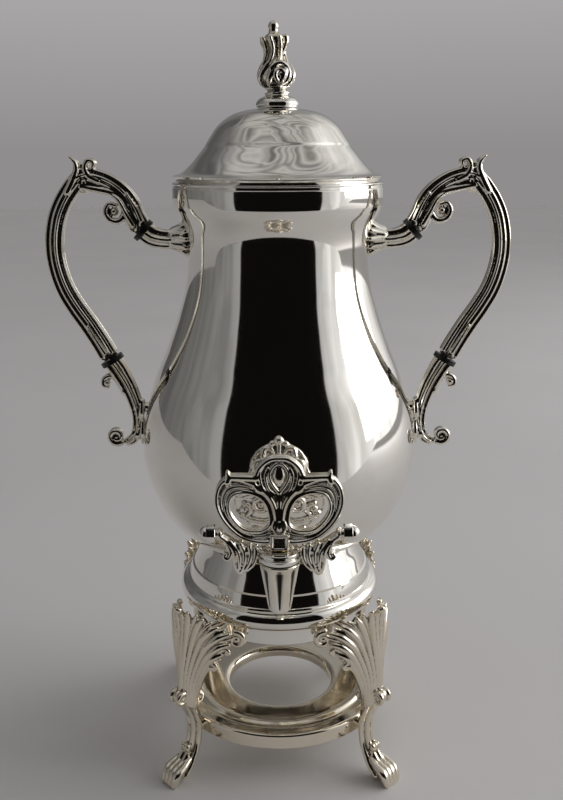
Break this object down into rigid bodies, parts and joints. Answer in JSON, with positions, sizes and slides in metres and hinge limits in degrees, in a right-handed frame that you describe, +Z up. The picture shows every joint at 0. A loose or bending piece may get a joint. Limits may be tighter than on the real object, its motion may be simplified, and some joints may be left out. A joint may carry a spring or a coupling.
{
  "type": "coffee urn",
  "caption": "Silver-plated coffee urn with a domed lid, insulated scroll handles and a turning tap, on a legged stand with a burner plate.",
  "frame": {"origin": "on the vessel's axis, on the plane that the four feet stand on", "axes": "+Z up the vessel's axis; -Y the way the tap faces; +X towards the right-hand handle as seen from the tap side"},
  "size_m": [0.2748, 0.2167, 0.445],
  "materials": {
    "silver_plate": "mirror-polished silver plate",
    "cast_silver_plate": "polished silver plate over castings, warm with light tarnish",
    "insulator": "black moulded insulating ring",
    "brass": "bare machined brass",
    "fibre": "red-brown fibre washer"
  },
  "bodies": {
    "urn": {"body_shell": "silver_plate", "vessel_floor": "silver_plate", "mouth_rim": "silver_plate", "base_ring": "silver_plate", "socket_upper_left": "silver_plate", "socket_upper_right": "silver_plate", "grip_left": "silver_plate", "grip_right": "silver_plate", "socket_lower_left": "silver_plate", "socket_lower_right": "silver_plate", "back_plate": "silver_plate", "inlet_shank": "silver_plate", "tap_body": "silver_plate", "tap_cap": "silver_plate", "tap_arm_left": "silver_plate", "tap_arm_right": "silver_plate", "tap_arm_nuts": "silver_plate", "stand_dome": "silver_plate", "stand_collar": "silver_plate", "burner_plate": "cast_silver_plate", "leg_front_left": "cast_silver_plate", "leg_front_right": "cast_silver_plate", "leg_back_left": "cast_silver_plate", "leg_back_right": "cast_silver_plate", "insulator_upper_left": "insulator", "insulator_upper_right": "insulator", "insulator_lower_left": "insulator", "insulator_lower_right": "insulator", "insulator_pins": "brass", "inlet_nut": "brass", "leg_screws": "brass", "inlet_gasket": "fibre", "plug_washer": "fibre"},
    "lid": {"lid_shell": "silver_plate", "lid_bezel": "silver_plate", "finial_button": "silver_plate", "finial": "silver_plate", "finial_stud": "brass", "finial_washer": "brass", "finial_nut": "brass"},
    "tap_key": {"tap_plug": "brass", "tap_key": "silver_plate", "key_screw": "brass"}
  },
  "joints": [
    {"name": "lid_lift", "type": "slide", "parent": "urn", "child": "lid", "axis": [0, 0, 1], "range_m": [0, 0.06]},
    {"name": "tap_turn", "type": "hinge", "parent": "urn", "child": "tap_key", "pos_m": [0, -0.122, 0.18], "axis": [0, 0, 1], "range_deg": [0, 90]}
  ]
}
